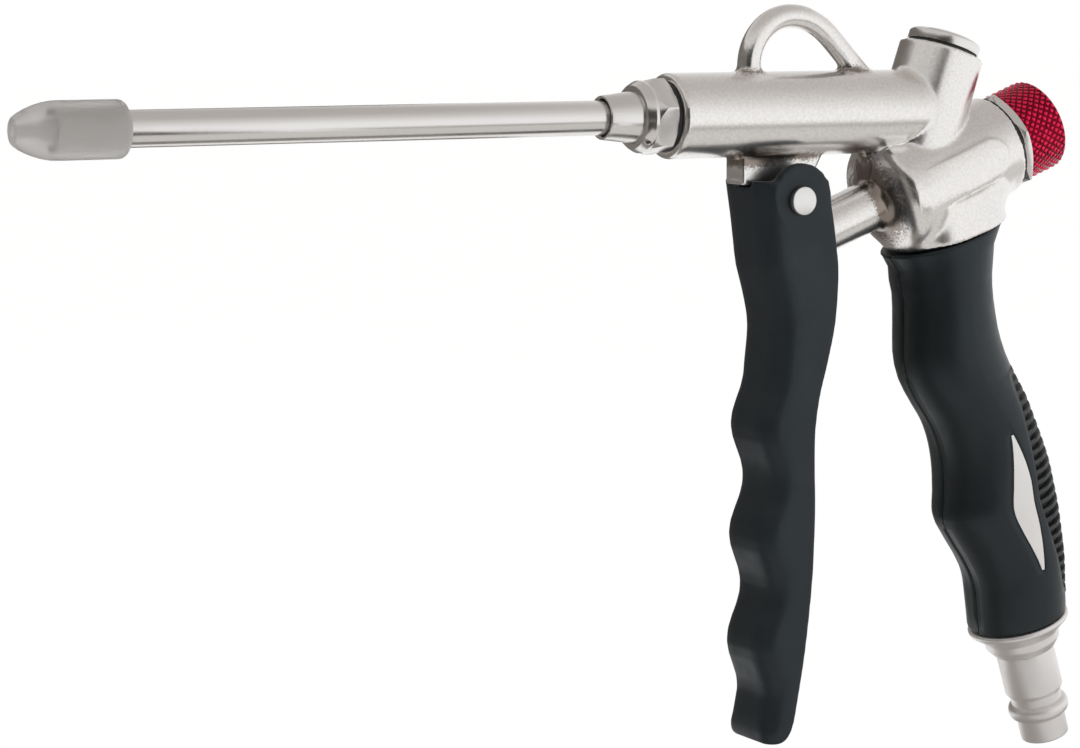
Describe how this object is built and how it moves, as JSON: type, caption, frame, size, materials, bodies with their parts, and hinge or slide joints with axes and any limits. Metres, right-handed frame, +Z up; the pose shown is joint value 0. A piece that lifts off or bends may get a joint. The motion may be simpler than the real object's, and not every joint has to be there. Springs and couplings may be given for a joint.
{
  "type": "pneumatic air duster",
  "caption": "Air blow gun: long tube nozzle with a soft tip, cast body with a hanging loop, pivoting hand lever, throttle knob, rubber grip and quick-connect inlet plug.",
  "frame": {"origin": "centre of the air outlet in the nozzle tip's nose face", "axes": "+X along the barrel from the outlet towards the back, +Z up from the handle towards the hanging loop, +Y away from the pictured side"},
  "size_m": [0.2291, 0.0236, 0.1532],
  "materials": {
    "soft_tip": "translucent soft, milky",
    "polished_nickel": "polished nickel plate",
    "cast_nickel": "satin nickel plate over a fine cast grain",
    "black_rubber": "matte",
    "brass": "turned",
    "steel": "bright",
    "red_anodised": "anodised, knurled",
    "lever_coat": "matte charcoal",
    "grip_rubber": "soft matte charcoal",
    "inlay_silver": "satin silver"
  },
  "bodies": {
    "body": {"nozzle_tip": "soft_tip", "nozzle_tube": "polished_nickel", "nozzle_ferrule": "polished_nickel", "nozzle_nut": "polished_nickel", "nozzle_ring_seal": "black_rubber", "body_casting": "cast_nickel", "passage_plug": "polished_nickel", "plug_seal": "black_rubber", "stem_guide": "brass", "stem_seal": "black_rubber", "spindle_seal": "black_rubber", "bonnet_gland": "polished_nickel", "bonnet_seal": "black_rubber", "pivot_pin": "steel", "pin_clip": "steel", "core_tube": "steel", "grip_shell_near": "grip_rubber", "grip_shell_far": "grip_rubber", "grip_back_strip": "grip_rubber", "inlay_near": "inlay_silver", "inlay_far": "inlay_silver", "end_collar": "cast_nickel", "nipple_seal": "black_rubber", "inlet_nipple": "cast_nickel"},
    "lever": {"trigger_lever": "lever_coat"},
    "stem": {"valve_stem": "steel", "valve_poppet": "brass", "poppet_seal": "black_rubber", "valve_spring": "steel"},
    "sleeve": {"throttle_sleeve": "brass"},
    "knob": {"throttle_spindle": "steel", "sleeve_clip": "steel", "flow_knob": "red_anodised", "knob_screw": "steel"}
  },
  "joints": [
    {"name": "lever_pivot", "type": "hinge", "parent": "body", "child": "lever", "pos_m": [0.1551, 0, -0.0163], "axis": [0, -1, 0], "range_deg": [0, 14], "stiffness_Nm_per_rad": 1.5, "springref_deg": -14.32},
    {"name": "stem_slide", "type": "slide", "parent": "body", "child": "stem", "axis": [0.9397, 0, 0.342], "range_m": [0, 0.0024], "deforming": ["valve_spring"]},
    {"name": "throttle_slide", "type": "slide", "parent": "body", "child": "sleeve", "axis": [0.9397, 0, 0.342], "range_m": [0, 0.00301]},
    {"name": "knob_turn", "type": "hinge", "parent": "sleeve", "child": "knob", "pos_m": [0.21392, 0, -0.00503], "axis": [0.9397, 0, 0.342], "range_deg": [0, 720]}
  ],
  "couplings": [
    {"joint": "stem_slide", "follows": "lever_pivot", "m_per_rad": 0.0092},
    {"joint": "throttle_slide", "follows": "knob_turn", "m_per_rad": 0.00023873}
  ]
}
